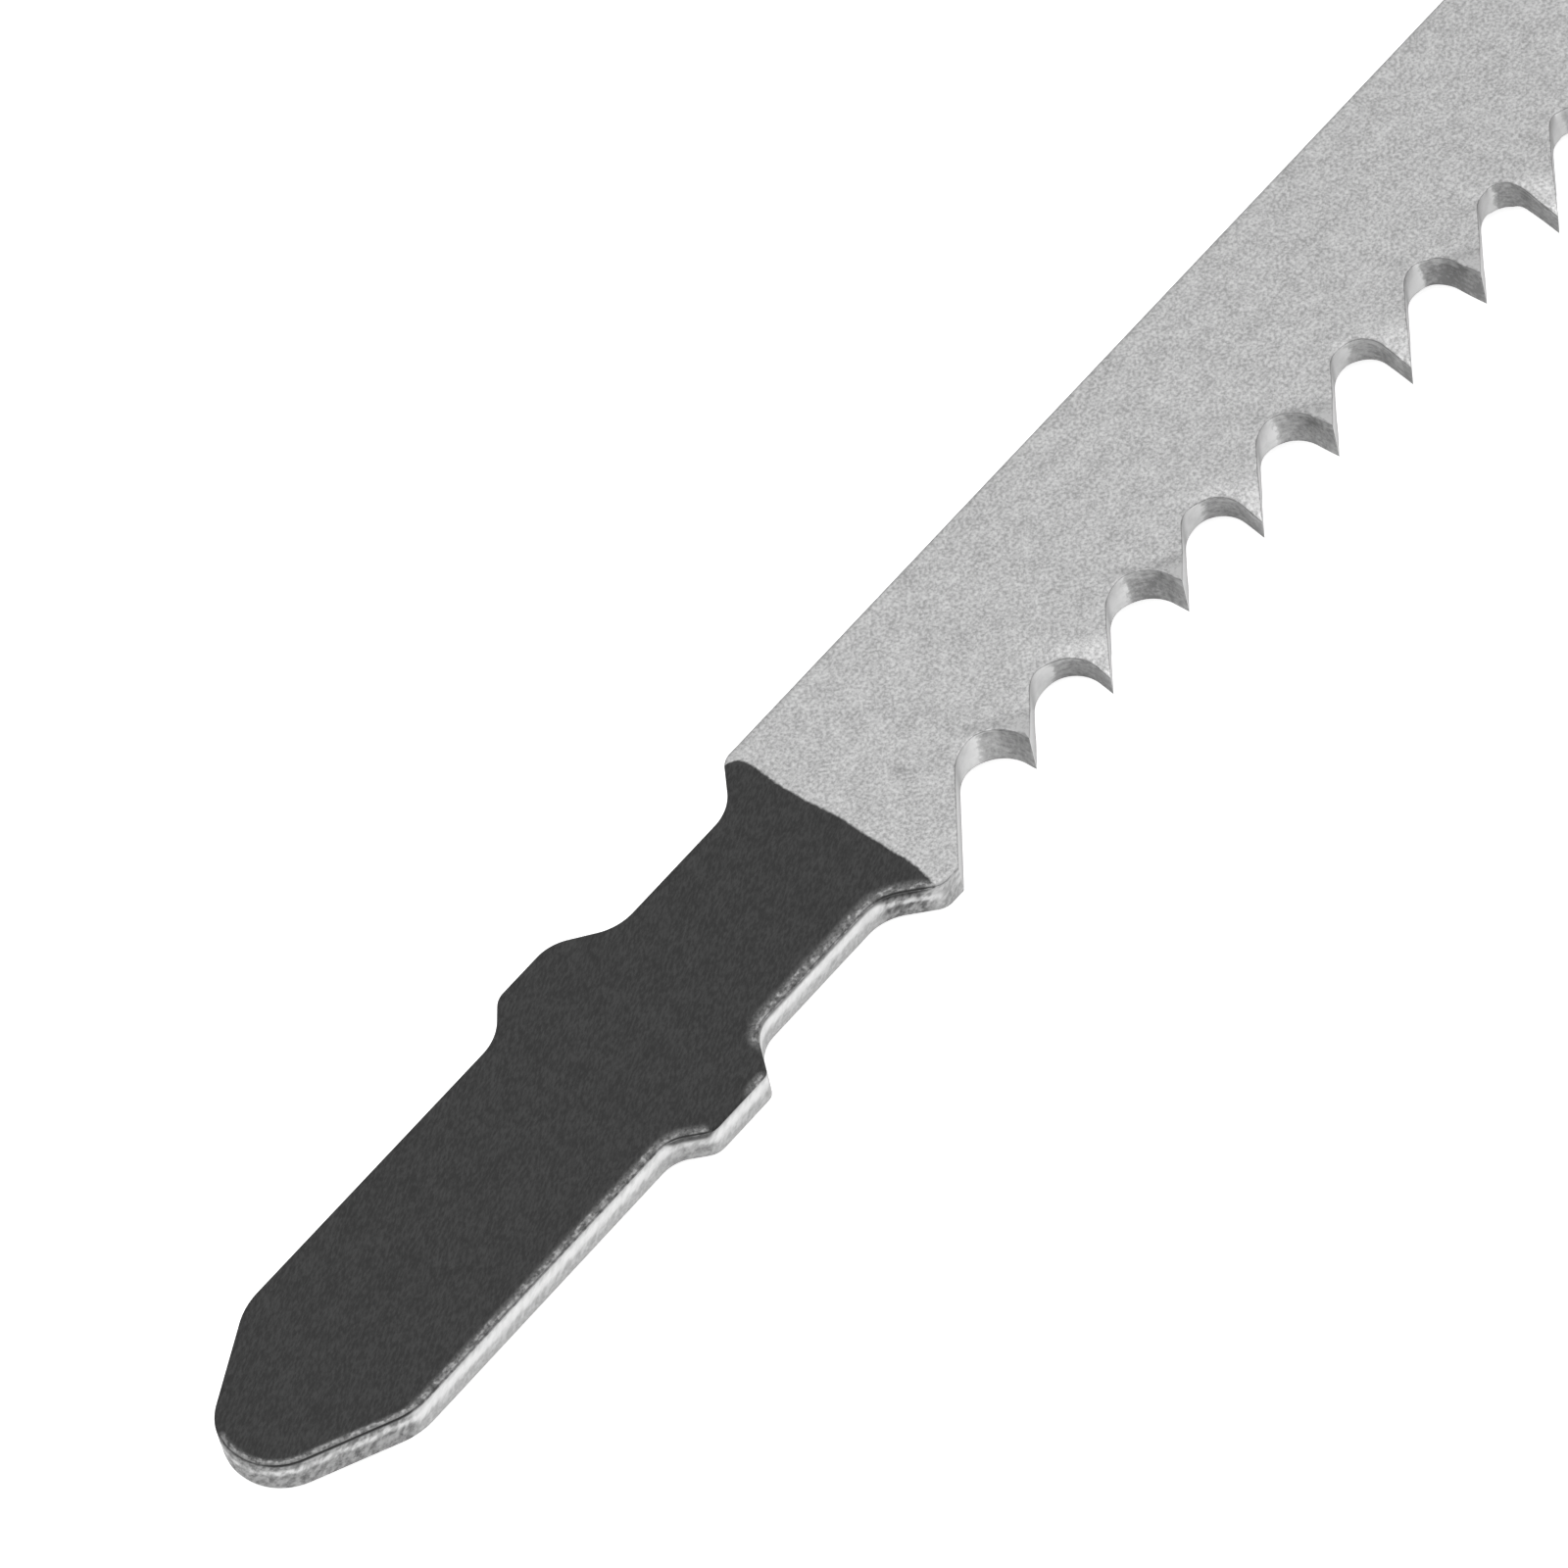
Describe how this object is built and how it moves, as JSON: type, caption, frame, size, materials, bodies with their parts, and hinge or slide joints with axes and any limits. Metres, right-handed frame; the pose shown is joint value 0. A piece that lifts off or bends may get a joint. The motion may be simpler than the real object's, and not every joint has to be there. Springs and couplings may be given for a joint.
{
  "type": "jigsaw blade",
  "caption": "Flat stamped steel jigsaw blade with a lugged bayonet shank, slanted nose and coarse alternately set teeth.",
  "frame": {"origin": "on the ground under the middle of the blade, level with the lowest set tips", "axes": "+X from the shank towards the nose, +Y from the teeth towards the back edge, +Z out of the printed face"},
  "size_m": [0.1, 0.0072, 0.0015],
  "materials": {
    "blade_steel": "blasted tool steel on the toothed strip, dark brushed coating on the shank, bright stamped edges"
  },
  "bodies": {
    "root": {"saw_blade": "blade_steel"}
  },
  "joints": []
}
